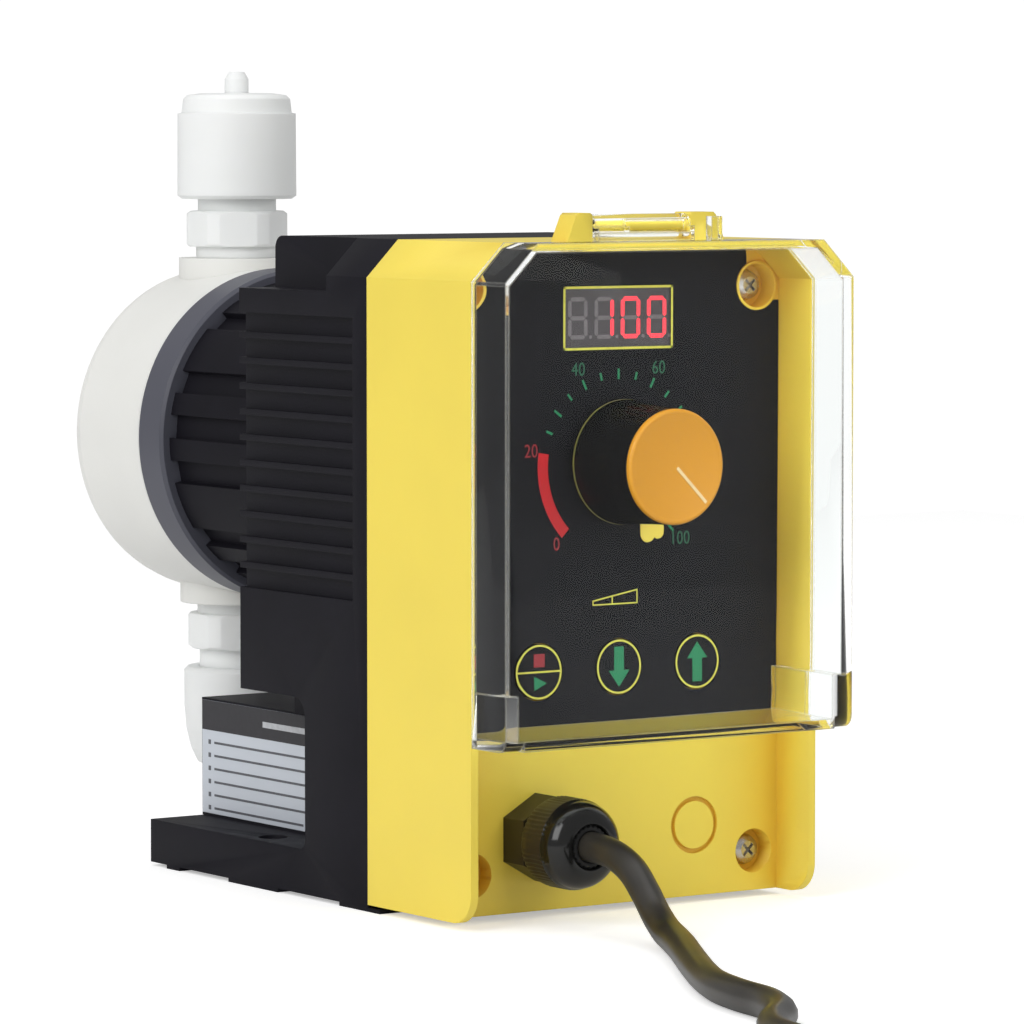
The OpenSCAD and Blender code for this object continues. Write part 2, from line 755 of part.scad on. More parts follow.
module head_flange() {
    color([0.36, 0.37, 0.4]) difference() {
        translate([0, y_flange, axis_z]) rotate([-90, 0, 0]) rotate_extrude($fn = 96) polygon([
            [9, 0], [flange_r - 0.8, 0], [flange_r, 0.8], [flange_r, 10.3], [flange_r - 0.8, 11.1], [24, 11.1], [24, 4],
            [9, 4]
        ]);
        for (a = [0:60:300])
            rod_y(2, y_flange + 3, y_head + 1, 35.5 * cos(a), axis_z + 35.5 * sin(a));
        for (a = [0:90:270])
            rod_y(2.2, y_flange - 1, y_flange + 5, 20 * cos(a), axis_z + 20 * sin(a));
    }
}

module flange_screws() {
    color(steel) for (a = [0:90:270])
        translate([20 * cos(a), y_flange + 4, axis_z + 20 * sin(a)]) mirror([0, 1, 0]) pan_screw(3.5, 2.2, 2, 7.6);
}

module diaphragm() {
    color([0.15, 0.15, 0.15]) rod_y(30, y_head, y_head + 2.5, 0, axis_z);
}

module diaphragm_plate() {
    color(steel) difference() {
        union() {
            rod_y(16, y_head - 3.6, y_head - 0.2, 0, axis_z);
            rod_y(6.5, y_head - 7.6, y_head - 3.6 + eps, 0, axis_z);
        }
        rod_y(rod_r, y_head - 8, y_head - 2, 0, axis_z);
    }
}

module pump_head() {
    cut_z = port_h - axis_z;
    color(white) difference() {
        union() {
            translate([0, y_head, axis_z]) rotate([-90, 0, 0]) rotate_extrude($fn = 96) polygon([
                [0, 0], [head_r - 0.5, 0], [head_r, 0.5], [head_r, 28.6], [head_r - 0.5, 31.2],
                [head_r - 1.6, 32.6], [0, 32.6]
            ]);
            intersection() {
                translate([0, y_valve, axis_z]) cylinder(r = 14.6, h = 2 * cut_z, center = true);
                block([-16, y_head + 0.6, 0], [16, y_head_end - 0.6, body_top]);
            }
        }
        rod_y(30.2, y_head - 1, y_head + 2.6, 0, axis_z);
        rod_y(23, y_head, y_head + 6, 0, axis_z);
        rod_y(3, y_head + 5, y_valve, 0, axis_z);
        translate([0, y_valve, axis_z - cut_z + 5]) cylinder(r = 3, h = 2 * cut_z - 10);
        for (s = [-1, 1])
            translate([0, y_valve, axis_z + s * (cut_z - 5.9)]) cylinder(r = port_r, h = 12.2, center = true);
        for (a = [0:60:300]) {
            rod_y(2.2, y_head - 1, y_head_end + 1, 35.5 * cos(a), axis_z + 35.5 * sin(a));
            rod_y(3.8, y_head_end - 4.4, y_head_end + 1, 35.5 * cos(a), axis_z + 35.5 * sin(a));
        }
    }
}

module head_bolts() {
    color(steel) for (a = [0:60:300])
        translate([35.5 * cos(a), y_head_end - 4.4, axis_z + 35.5 * sin(a)]) socket_bolt(3.5, 4, 1.95, 36);
}

// ---------- Valves: each is drawn upwards from the face of its port ----------

// Places the children at the discharge port, pointing up
module at_discharge() {
    translate([0, y_valve, port_h]) children();
}

// Places the children at the suction port, pointing down
module at_suction() {
    translate([0, y_valve, 2 * axis_z - port_h]) mirror([0, 0, 1]) children();
}

// Outside of a valve body: spigot, neck, collar with flats, threaded end
module valve_outside() {
    difference() {
        rotate_extrude() polygon([
            [0, -11.7], [9, -11.7], [9, -5.2], [7.2, -5.2], [7.2, -3.2], [9, -3.2], [9, 0], [10.3, 0], [10.3, 2.8],
            [12.1, 2.8], [12.6, 3.4], [12.6, 11], [11.6, 11.7], [9.8, 11.7], [9.8, 24], [0, 24]
        ]);
        for (a = [0:60:300])
            rotate(a) translate([11.7, -10, 2]) cube([5, 20, 10]);
    }
}

module discharge_valve_body() {
    color(white) at_discharge() difference() {
        valve_outside();
        translate([0, 0, -12.7]) cylinder(r = seat_r + 0.05, h = 4);
        translate([0, 0, -9]) cylinder(r = ball_r + 0.6, h = 9.5);
        translate([0, 0, -1]) cylinder(r = 3, h = 26);
    }
}

module suction_valve_body() {
    color(white) at_suction() difference() {
        valve_outside();
        translate([0, 0, -12.7]) cylinder(r = seat_r + 0.05, h = 14.7);
        translate([0, 0, 1]) cylinder(r = 3, h = 24);
    }
}

// A seat ring, its foot at the height low, with a sealing edge on the side that faces the ball
module seat_ring(low) {
    translate([0, 0, low]) difference() {
        cylinder(r = seat_r, h = 3);
        translate([0, 0, -1]) cylinder(r = seat_hole_r, h = 5);
    }
}

module discharge_seat() {
    color([0.75, 0.76, 0.7]) at_discharge() seat_ring(-11.7);
}

module suction_seat() {
    color([0.75, 0.76, 0.7]) at_suction() seat_ring(-1);
}

module discharge_ball() {
    color([0.95, 0.95, 0.93]) at_discharge() translate([0, 0, ball_rest - 8.7]) sphere(r = ball_r);
}

module suction_ball() {
    color([0.95, 0.95, 0.93]) at_suction() translate([0, 0, -1 - ball_rest]) sphere(r = ball_r);
}

module discharge_nut() {
    color(white) at_discharge() rotate_extrude() polygon([
        [10.1, 14.7], [nut_r - 1, 14.7], [nut_r + 0.1, 15.5], [nut_r, 36], [nut_r - 1, 36.2], [nut_r - 1.4, 39.6],
        [nut_r - 2.4, 40.6], [nut_r - 6, 41.1], [3.4, 41.1], [3.4, 37], [10.1, 37]
    ]);
}

module suction_nut() {
    color(white) at_suction() rotate_extrude() polygon([
        [10.1, 16.3], [nut_r - 2, 16.3], [nut_r - 1.1, 17.2], [nut_r - 1.1, 26], [nut_r - 1.6, 32], [nut_r - 2.8, 37],
        [nut_r - 4.4, 40.4], [nut_r - 6, 41.1], [3.4, 41.1], [3.4, 37], [8.4, 37], [10.1, 32]
    ]);
}

// A hose nipple with a flange that the union nut clamps
module nipple() {
    rotate_extrude() polygon([
        [1.5, 25.9], [8, 25.9], [8, 28.4], [5, 28.4], [5, 36.8], [3.2, 36.8], [3.2, 41.2], [nipple_r, 41.2],
        [nipple_r, 44.6], [2.2, 46], [1.9, 46.4], [1.5, 46.4]
    ]);
}

module discharge_nipple() {
    color(white) at_discharge() nipple();
}

module suction_nipple() {
    color(white) at_suction() nipple();
}

// A sealing ring round Z at a height
module seal_ring(r, section_r, height) {
    translate([0, 0, height]) rotate_extrude() translate([r, 0]) circle(r = section_r, $fn = 24);
}

module valve_seals() {
    color([0.12, 0.12, 0.12]) {
        at_discharge() seal_ring(8.15, 0.9, -4.2);
        at_suction() seal_ring(8.15, 0.9, -4.2);
        at_discharge() seal_ring(6, 0.9, 24.95);
        at_suction() seal_ring(6, 0.9, 24.95);
    }
}

// ---------- Cable gland ----------

module gland_body() {
    color([0.12, 0.12, 0.12]) difference() {
        union() {
            translate([gland_x, y_panel, gland_z]) rotate([90, 30, 0]) cylinder(r = 10, h = 8, $fn = 6);
            rod_y(7.6, y_panel - eps, y_panel + 9, gland_x, gland_z);
            rod_y(7.6, y_panel - 13, y_panel - 8 + eps, gland_x, gland_z);
        }
        rod_y(4, y_panel - 14, y_panel + 10, gland_x, gland_z);
        rod_y(5.6, y_panel - 14, y_panel - 9, gland_x, gland_z);
    }
}

module gland_locknut() {
    color([0.12, 0.12, 0.12]) difference() {
        hex_y(19, y_panel + wall, y_panel + wall + 4.5, gland_x, gland_z);
        rod_y(7.65, y_panel, y_panel + 10, gland_x, gland_z);
    }
}

module gland_seal() {
    color([0.08, 0.08, 0.08]) translate([gland_x, y_panel - 9.1, gland_z]) rotate([90, 0, 0])
        rotate_extrude() polygon([
            [cord_r + 0.05, 0], [5.5, 0], [5.5, 4.5], [4.9, 6], [4.9, 12], [cord_r + 0.05, 12]
        ]);
}

module gland_nut() {
    color([0.12, 0.12, 0.12]) translate([gland_x, y_panel - 8.6, gland_z]) rotate([90, 0, 0]) rotate_extrude() polygon([
        [7.7, 0], [9.8, 0], [10.3, 0.6], [10.3, 8.2], [10, 9.4], [9, 11.6], [7.6, 13], [5.4, 13.6], [5, 13.2],
        [5, 6.4], [7.7, 5]
    ]);
}

// ---------- Power cord ----------

module power_cord() {
    color([0.13, 0.12, 0.11]) {
        swept_tube(cord_route, cord_r, 10);
        swept_tube(plug_route, cord_r, 10);
    }
}

module cord_coil() {
    h = 2 * cord_d;
    out = coil_r + cord_r;
    color([0.13, 0.12, 0.11]) translate([coil_at[0], coil_at[1], 0]) rotate_extrude() polygon([
        [coil_inner_r + 2, 0], [out - 2, 0], [out, 2], [out, h - 2], [out - 2, h], [coil_inner_r + 2, h],
        [coil_inner_r, h - 2], [coil_inner_r, 2]
    ]);
}

module cord_tie() {
    t = 0.8;
    h = 2 * cord_d;
    out = coil_r + cord_r;
    color([0.1, 0.1, 0.1]) translate([coil_at[0], coil_at[1], 0]) rotate(-120) difference() {
        block([coil_inner_r - t, -2.5, 0], [out + t, 2.5, h + t]);
        block([coil_inner_r, -3, t], [out, 3, h]);
    }
}

module mains_plug() {
    relief = 18;
    body_l = 36;
    color([0.12, 0.12, 0.12]) translate(plug_at) rotate([90, 0, 0]) rotate_extrude() polygon([
        [0, 0], [4.4, 0], [5.6, relief], [9, relief + 2], [13.5, relief + 8], [14.5, relief + 18], [18, relief + 26],
        [18, relief + body_l - 0.5], [17.5, relief + body_l], [0, relief + body_l]
    ]);
}

module plug_pins() {
    pin_r = 2.4;
    y_face = plug_at[1] - 54;
    color(brass) for (s = [-1, 1])
        rod_y(pin_r, y_face - 19, y_face, plug_at[0] + s * 9.5, plug_at[2]);
}

rear_housing();
front_cover();
housing_gasket();
cover_screws();
base_label();
clear_cover();
hinge_pin();
panel_overlay();
key_start();
key_down();
key_up();
display_window();
display_module();
circuit_board();
board_screws();
tact_switches();
power_board();
capacitors();
knob_body();
knob_cap();
stroke_spindle();
spindle_bush();
stroke_stop();
stop_guide();
solenoid_housing();
solenoid_screws();
magnet_yoke();
coil_bobbin();
coil_winding();
pole_core();
armature();
push_rod();
guide_bush();
return_spring();
head_flange();
flange_screws();
diaphragm();
diaphragm_plate();
pump_head();
head_bolts();
discharge_valve_body();
discharge_seat();
discharge_ball();
discharge_nut();
discharge_nipple();
suction_valve_body();
suction_seat();
suction_ball();
suction_nut();
suction_nipple();
valve_seals();
gland_body();
gland_locknut();
gland_seal();
gland_nut();
power_cord();
cord_coil();
cord_tie();
mains_plug();
plug_pins();
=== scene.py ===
"""A solenoid diaphragm dosing pump: materials, prints, display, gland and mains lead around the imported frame."""

import math

import bmesh
import bpy
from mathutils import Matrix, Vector


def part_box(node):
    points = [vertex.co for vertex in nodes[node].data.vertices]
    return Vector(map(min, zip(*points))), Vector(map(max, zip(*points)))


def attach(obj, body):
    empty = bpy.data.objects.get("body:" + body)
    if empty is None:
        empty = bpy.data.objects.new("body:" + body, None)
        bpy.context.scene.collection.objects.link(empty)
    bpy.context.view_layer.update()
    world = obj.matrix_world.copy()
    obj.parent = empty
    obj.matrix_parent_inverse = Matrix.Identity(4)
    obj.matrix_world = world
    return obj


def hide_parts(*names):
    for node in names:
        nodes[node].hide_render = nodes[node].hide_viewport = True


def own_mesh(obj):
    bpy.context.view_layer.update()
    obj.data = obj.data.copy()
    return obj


MM = 0.001
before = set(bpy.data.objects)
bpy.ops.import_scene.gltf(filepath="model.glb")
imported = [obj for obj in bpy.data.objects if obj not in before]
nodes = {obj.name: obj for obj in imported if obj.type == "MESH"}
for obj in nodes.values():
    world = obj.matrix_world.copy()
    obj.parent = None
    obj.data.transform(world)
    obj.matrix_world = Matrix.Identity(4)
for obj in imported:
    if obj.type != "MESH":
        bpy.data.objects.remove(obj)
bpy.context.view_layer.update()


# ---------- Places, all taken from the frame ----------


def centre(node):
    """The middle of a node's box."""
    low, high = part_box(node)
    return (low + high) / 2


FILM_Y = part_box("panel_overlay")[0].y
DIAL = centre("knob_body")
DIAL_PRINT = DIAL + Vector((0.4, 0, -0.9)) * MM
PRINT_T = 0.05 * MM


# ---------- Camera and stage ----------

CAMERA_PLACE = (-0.72446, -1.09364, 0.17818)
CAMERA_TILT = 86
CAMERA_TURN = -34.48
LENS = 193.3
SEEN_STRENGTH = 1.05
LIGHT_STRENGTH = 0.42
FLOOR_GLOW = 0.42
FLOOR_HALF = 0.9


def add_camera():
    """A long lens from the front left, a little above the box's top."""
    data = bpy.data.cameras.new("camera")
    data.lens = LENS
    data.sensor_width = 36
    camera = bpy.data.objects.new("camera", data)
    camera.location = CAMERA_PLACE
    camera.rotation_euler = (math.radians(CAMERA_TILT), 0, math.radians(CAMERA_TURN))
    bpy.context.scene.collection.objects.link(camera)
    bpy.context.scene.camera = camera


def add_area_light(name, place, target, width, height, power, reflects=True):
    """A soft lamp. With reflects off, it lights the object but shows in no reflection."""
    data = bpy.data.lights.new(name, "AREA")
    data.shape = "RECTANGLE"
    data.size = width
    data.size_y = height
    data.energy = power
    lamp = bpy.data.objects.new(name, data)
    lamp.visible_glossy = reflects
    lamp.location = place
    lamp.rotation_euler = (Vector(target) - Vector(place)).to_track_quat("-Z", "Y").to_euler()
    bpy.context.scene.collection.objects.link(lamp)


def seen_rays(tree):
    """An output that is 1 on rays from the camera or through clear plastic, and 0 on the rest."""
    path, either = tree.nodes.new("ShaderNodeLightPath"), tree.nodes.new("ShaderNodeMath")
    either.operation = "MAXIMUM"
    tree.links.new(path.outputs["Is Camera Ray"], either.inputs[0])
    tree.links.new(path.outputs["Is Transmission Ray"], either.inputs[1])
    return either.outputs[0]


def add_stage():
    """A white floor in a white surrounding, and soft lamps from the left, the front and above."""
    middle = (0, 0, 0.09)
    add_area_light("key_lamp", (-1.5, -0.5, 1.0), middle, 1.0, 1.2, 15)
    add_area_light("front_lamp", (0.3, -1.9, 0.9), middle, 1.2, 1.0, 7, False)
    add_area_light("top_lamp", (0, 0.2, 1.7), middle, 1.4, 1.4, 7)
    world = bpy.data.worlds.new("surround")
    world.use_nodes = True
    tree = world.node_tree
    seen, lit = tree.nodes["Background"], tree.nodes.new("ShaderNodeBackground")
    for background, strength in ((seen, SEEN_STRENGTH), (lit, LIGHT_STRENGTH)):
        background.inputs["Color"].default_value = (1, 1, 1, 1)
        background.inputs["Strength"].default_value = strength
    mix = tree.nodes.new("ShaderNodeMixShader")
    tree.links.new(seen_rays(tree), mix.inputs["Fac"])
    tree.links.new(lit.outputs["Background"], mix.inputs[1])
    tree.links.new(seen.outputs["Background"], mix.inputs[2])
    tree.links.new(mix.outputs["Shader"], tree.nodes["World Output"].inputs["Surface"])
    bpy.context.scene.world = world
    bpy.context.scene.view_settings.view_transform = "Standard"
    mesh = bpy.data.meshes.new("floor")
    corners = [(x * FLOOR_HALF, y * FLOOR_HALF, 0) for x, y in ((-1, -1), (1, -1), (1, 1), (-1, 1))]
    mesh.from_pydata(corners, [], [(0, 1, 2, 3)])
    floor = bpy.data.objects.new("floor", mesh)
    bpy.context.scene.collection.objects.link(floor)
    floor.data.materials.append(plain_floor())


# ---------- Materials ----------

ROUGH_SPREAD = 0.06
# How far in from an edge the clear plastic's painted highlight reaches.
PAINTED_HIGHLIGHT_RADIUS = 0.9 * MM


def srgb(red, green, blue):
    """A colour in 0 to 255 as linear light."""
    def linear(value):
        value /= 255
        return value / 12.92 if value <= 0.04045 else ((value + 0.055) / 1.055) ** 2.4
    return (linear(red), linear(green), linear(blue), 1)


def shade(colour, factor):
    """A lighter or darker version of a colour."""
    return tuple(min(c * factor, 1) for c in colour[:3]) + (1,)


class Nodes:
    """A material's node tree, with its shader and short ways to add nodes."""

    def __init__(self, name):
        self.material = bpy.data.materials.new(name)
        self.material.use_nodes = True
        self.tree = self.material.node_tree
        self.shader = self.tree.nodes["Principled BSDF"]
        self.place = self.add("ShaderNodeTexCoord").outputs["Object"]

    def add(self, kind, **values):
        node = self.tree.nodes.new(kind)
        for key, value in values.items():
            setattr(node, key, value)
        return node

    def link(self, source, target):
        self.tree.links.new(source, target)

    def set(self, **values):
        for key, value in values.items():
            self.shader.inputs[key.replace("_", " ")].default_value = value

    def noise(self, size, detail=3, stretch=None):
        """Noise whose features are about size metres across, longer along stretch."""
        node = self.add("ShaderNodeTexNoise")
        node.inputs["Scale"].default_value = 1 / size
        node.inputs["Detail"].default_value = detail
        place = self.place
        if stretch:
            scale = self.add("ShaderNodeMapping")
            scale.inputs["Scale"].default_value = stretch
            self.link(place, scale.inputs["Vector"])
            place = scale.outputs["Vector"]
        self.link(place, node.inputs["Vector"])
        return node.outputs["Fac"]

    def ramp(self, source, low, high, start=0.35, end=0.65):
        """Mixes the colours low and high as source goes from start to end."""
        node = self.add("ShaderNodeValToRGB")
        node.color_ramp.elements[0].position = start
        node.color_ramp.elements[1].position = end
        node.color_ramp.elements[0].color = low
        node.color_ramp.elements[1].color = high
        self.link(source, node.inputs["Fac"])
        return node.outputs["Color"]

    def number(self, source, low, high):
        """A number that goes from low to high as source goes from 0 to 1."""
        node = self.add("ShaderNodeMapRange")
        node.inputs["To Min"].default_value = low
        node.inputs["To Max"].default_value = high
        self.link(source, node.inputs["Value"])
        return node.outputs["Result"]

    def surface(self, colour, rough, mottle, mottle_size, grain_size, grain_depth, rounding=0.25 * MM,
                stretch=None):
        """Colour that varies softly, roughness that varies with it, fine grain, and rounded edges."""
        patches = self.noise(mottle_size, 4, stretch)
        mottled = self.ramp(patches, shade(colour, 1 - mottle), shade(colour, 1 + mottle))
        self.link(mottled, self.shader.inputs["Base Color"])
        self.link(self.number(patches, rough - ROUGH_SPREAD, rough + ROUGH_SPREAD), self.shader.inputs["Roughness"])
        bump = self.add("ShaderNodeBump")
        bump.inputs["Distance"].default_value = grain_depth
        bump.inputs["Strength"].default_value = 1
        self.link(self.noise(grain_size, 2, stretch), bump.inputs["Height"])
        edge = self.add("ShaderNodeBevel", samples=4)
        edge.inputs["Radius"].default_value = rounding
        self.link(edge.outputs["Normal"], bump.inputs["Normal"])
        self.link(bump.outputs["Normal"], self.shader.inputs["Normal"])
        return self


def plastic(name, colour, rough=0.45, mottle=0.03, grain=0.4 * MM, depth=0.006 * MM, **values):
    """Moulded plastic, with further shader values by name."""
    made = Nodes(name).surface(colour, rough, mottle, 30 * MM, grain, depth)
    made.set(**values)
    return made.material


def yellow_plastic():
    """Glossy yellow with painted shade: it deepens towards orange in recesses, found by ambient occlusion."""
    made = Nodes("yellow_plastic").surface(srgb(244, 220, 86), 0.42, 0.02, 30 * MM, 0.7 * MM, 0.004 * MM)
    made.set(Subsurface_Weight=0.08, Subsurface_Radius=(1, 0.7, 0.2), Subsurface_Scale=1 * MM)
    # Painted shade: ambient occlusion mixes the yellow towards a deep orange where the surface is recessed.
    recess_shade_ao = made.add("ShaderNodeAmbientOcclusion", samples=4, only_local=True)
    recess_shade_ao.inputs["Distance"].default_value = 22 * MM
    mix = made.add("ShaderNodeMix", data_type="RGBA")
    base = made.shader.inputs["Base Color"]
    made.link(recess_shade_ao.outputs["AO"], mix.inputs["Factor"])
    # A mix node's colours are inputs 6 and 7 and output 2, because its names repeat for each kind of value.
    # The deep orange of the painted recess shade.
    mix.inputs[6].default_value = srgb(222, 158, 28)
    made.link(base.links[0].from_socket, mix.inputs[7])
    made.link(mix.outputs[2], base)
    return made.material


def textured_black(name, colour):
    """Black plastic from a spark-eroded mould: dull, with fine grain and paler dust in patches."""
    made = Nodes(name).surface(colour, 0.55, 0.12, 14 * MM, 0.32 * MM, 0.03 * MM, 0.35 * MM)
    made.set(Specular_IOR_Level=0.09)
    return made.material


def translucent_white(name, colour):
    """Milky polypropylene that light enters."""
    made = Nodes(name).surface(colour, 0.42, 0.012, 22 * MM, 1.2 * MM, 0.008 * MM, 0.5 * MM)
    made.set(Subsurface_Weight=0.35, Subsurface_Radius=(1, 1, 0.95), Subsurface_Scale=3 * MM,
             Specular_IOR_Level=0.35)
    return made.material


def metal(name, colour, rough, stretch=None):
    """Bare metal, its marks drawn out along stretch."""
    made = Nodes(name).surface(colour, rough, 0.08, 4 * MM, 0.5 * MM, 0.004 * MM, 0.12 * MM, stretch)
    made.set(Metallic=1)
    return made.material


def clear(name, colour, rough=0.02, ior=1.2, painted_edge_highlight=0.0):
    """Clear plastic that bends light, lets lamps through, and can carry a painted highlight along its edges."""
    made = Nodes(name)
    made.set(Base_Color=colour, IOR=ior, Transmission_Weight=1.0)
    haze = made.noise(25 * MM, 3)
    made.link(made.number(haze, rough * 0.5, rough * 2), made.shader.inputs["Roughness"])
    through = made.add("ShaderNodeBsdfTransparent")
    through.inputs["Color"].default_value = shade(colour, 0.97)
    mix = made.add("ShaderNodeMixShader")
    made.link(made.add("ShaderNodeLightPath").outputs["Is Shadow Ray"], mix.inputs["Fac"])
    body = made.shader.outputs["BSDF"]
    # Painted highlight: a pale translucent layer is mixed in where the rounded edges turn away from the flat faces.
    if painted_edge_highlight:
        rounded, flat = made.add("ShaderNodeBevel", samples=6), made.add("ShaderNodeNewGeometry")
        rounded.inputs["Radius"].default_value = PAINTED_HIGHLIGHT_RADIUS
        turn = made.add("ShaderNodeVectorMath", operation="DOT_PRODUCT")
        made.link(rounded.outputs["Normal"], turn.inputs[0])
        made.link(flat.outputs["Normal"], turn.inputs[1])
        share = made.add("ShaderNodeMapRange")
        for socket, value in (("From Min", 0.999), ("From Max", 0.9), ("To Min", 0), ("To Max", painted_edge_highlight)):
            share.inputs[socket].default_value = value
        made.link(turn.outputs["Value"], share.inputs["Value"])
        pale, highlighted = made.add("ShaderNodeBsdfTranslucent"), made.add("ShaderNodeMixShader")
        pale.inputs["Color"].default_value = (0.9, 0.9, 0.88, 1)
        made.link(share.outputs["Result"], highlighted.inputs["Fac"])
        made.link(body, highlighted.inputs[1])
        made.link(pale.outputs["BSDF"], highlighted.inputs[2])
        body = highlighted.outputs["Shader"]
    made.link(body, mix.inputs[1])
    made.link(through.outputs["BSDF"], mix.inputs[2])
    made.link(mix.outputs["Shader"], made.tree.nodes["Material Output"].inputs["Surface"])
    return made.material


def ink(name, colour, glow=0.0):
    """Printed ink, a little uneven, which may glow."""
    made = Nodes(name)
    uneven = made.ramp(made.noise(1.5 * MM), shade(colour, 0.9), shade(colour, 1.06))
    made.link(uneven, made.shader.inputs["Base Color"])
    made.set(Roughness=0.5)
    if glow:
        made.set(Emission_Color=colour, Emission_Strength=glow)
    return made.material


def cord_rubber(name):
    """A dark rubber sheath with a soft shine and long faint smears."""
    made = Nodes(name).surface(srgb(46, 43, 38), 0.36, 0.3, 12 * MM, 0.8 * MM, 0.012 * MM, 0.2 * MM)
    made.set(Specular_IOR_Level=0.6)
    return made.material


def plain_floor():
    """White, with a glow of its own where the camera sees it."""
    made = Nodes("floor")
    uneven = made.ramp(made.noise(0.4), (0.93, 0.93, 0.93, 1), (0.96, 0.96, 0.96, 1))
    made.link(uneven, made.shader.inputs["Base Color"])
    made.set(Roughness=0.9, Emission_Color=(1, 1, 1, 1))
    glow = made.add("ShaderNodeMath", operation="MULTIPLY")
    glow.inputs[1].default_value = FLOOR_GLOW
    made.link(seen_rays(made.tree), glow.inputs[0])
    made.link(glow.outputs[0], made.shader.inputs["Emission Strength"])
    return made.material


def make_materials():
    """Every finished material, under a short name."""
    return {
        "black": textured_black("black_plastic", srgb(27, 26, 32)),
        "fins": textured_black("black_plastic_fins", srgb(25, 24, 30)),
        "yellow": yellow_plastic(),
        "white": translucent_white("white_plastic", srgb(234, 234, 230)),
        "white_valve": translucent_white("white_valve_plastic", srgb(244, 246, 245)),
        "grey": plastic("grey_plastic", srgb(84, 85, 95), 0.42, 0.05, 0.5 * MM, 0.006 * MM,
                        Specular_IOR_Level=0.3),
        # The lid's edges carry a painted highlight.
        "clear": clear("clear_plastic", (0.97, 0.985, 0.98, 1), painted_edge_highlight=0.4),
        "window": clear("window_plastic", (0.8, 0.78, 0.79, 1), 0.05),
        "film": plastic("panel_film", srgb(20, 20, 24), 0.5, 0.05, 0.35 * MM, 0.001 * MM, Specular_IOR_Level=0.08),
        "key": plastic("key_film", srgb(21, 21, 25), 0.48, 0.05, 0.35 * MM, 0.001 * MM, Specular_IOR_Level=0.08),
        "label": plastic("label_film", srgb(203, 209, 218), 0.35, 0.02, 0.6 * MM, 0.002 * MM),
        "label_dark": ink("label_dark_ink", srgb(42, 41, 46)),
        "label_grey": ink("label_grey_ink", srgb(92, 94, 100)),
        "label_pale": ink("label_pale_ink", srgb(190, 192, 196)),
        "knob": plastic("knob_black", srgb(9, 9, 11), 0.22, 0.1, 0.6 * MM, 0.002 * MM, Specular_IOR_Level=0.25),
        "cap": plastic("knob_cap_plastic", srgb(202, 138, 10), 0.38, 0.03, 0.5 * MM, 0.003 * MM),
        "cream": ink("pointer_ink", srgb(226, 200, 150)),
        "steel": metal("steel", (0.62, 0.6, 0.57, 1), 0.28),
        "dark_steel": metal("dark_steel", (0.4, 0.41, 0.43, 1), 0.4),
        "brass": metal("brass", (0.75, 0.58, 0.28, 1), 0.3),
        "copper": metal("copper_wire", (0.7, 0.34, 0.18, 1), 0.35, (0.2, 6, 0.2)),
        "board": plastic("solder_mask", srgb(20, 84, 48), 0.3, 0.1),
        "part": plastic("electronic_part", srgb(40, 40, 42), 0.5, 0.08),
        "display": plastic("display_face", srgb(96, 93, 95), 0.5, 0.06),
        "bobbin": plastic("bobbin_nylon", srgb(222, 216, 196), 0.5),
        "rubber": plastic("rubber", srgb(26, 26, 26), 0.7, 0.1),
        "ceramic": plastic("ceramic", srgb(240, 240, 236), 0.12, 0.01, 0.5 * MM, 0.0005 * MM),
        "gland": plastic("gland_nylon", srgb(34, 31, 26), 0.4, 0.1, 0.5 * MM, 0.008 * MM),
        "gland_gloss": plastic("gland_dome_nylon", srgb(18, 18, 17), 0.14, 0.1, 0.5 * MM, 0.001 * MM),
        "cord": cord_rubber("cord_rubber"),
        "plug": plastic("plug_rubber", srgb(34, 33, 32), 0.5, 0.1, 0.5 * MM, 0.02 * MM),
        "red": ink("red_ink", srgb(188, 18, 28)),
        "dull_red": ink("dull_red_ink", srgb(142, 28, 38)),
        "green": ink("green_ink", srgb(8, 122, 78)),
        "dull_green": ink("dull_green_ink", srgb(8, 88, 60)),
        "olive": ink("olive_ink", srgb(204, 200, 76)),
        # Olive for the knob's rim: a painted reflection, not ink.
        "olive_rim_reflection": ink("painted_rim_reflection_olive", srgb(120, 116, 52)),
        "lit": ink("lit_segment", srgb(255, 62, 74), 1.5),
        "unlit": ink("unlit_segment", srgb(150, 146, 148)),
    }


CAD_LOOKS = {
    "black": ["rear_housing"],
    "fins": ["solenoid_housing"],
    "yellow": ["front_cover", "hinge_pin"],
    "white": ["pump_head"],
    "white_valve": ["discharge_valve_body", "discharge_nut", "discharge_nipple", "suction_valve_body", "suction_nut",
                    "suction_nipple"],
    "grey": ["head_flange"],
    "clear": ["clear_cover"],
    "window": ["display_window"],
    "film": ["panel_overlay"],
    "key": ["key_start", "key_down", "key_up"],
    "label": ["base_label"],
    "knob": ["knob_body"],
    "cap": ["knob_cap"],
    "steel": ["cover_screws", "board_screws", "stroke_spindle", "stroke_stop", "solenoid_screws", "push_rod",
              "return_spring", "flange_screws", "diaphragm_plate", "head_bolts"],
    "dark_steel": ["magnet_yoke", "pole_core", "armature"],
    "brass": ["spindle_bush", "stop_guide", "guide_bush", "plug_pins"],
    "copper": ["coil_winding"],
    "board": ["circuit_board", "power_board"],
    "part": ["tact_switches", "capacitors"],
    "display": ["display_module"],
    "bobbin": ["coil_bobbin"],
    "rubber": ["housing_gasket", "diaphragm", "valve_seals", "gland_seal", "cord_tie"],
    "ceramic": ["discharge_ball", "suction_ball", "discharge_seat", "suction_seat"],
    "gland": ["gland_body", "gland_locknut"],
    "plug": ["mains_plug"],
}


def dress_frame():
    """Gives every CAD node its finished material."""
    for look, names in CAD_LOOKS.items():
        for name in names:
            nodes[name].data.materials.clear()
            nodes[name].data.materials.append(LOOKS[look])


# ---------- Ways to make pieces ----------


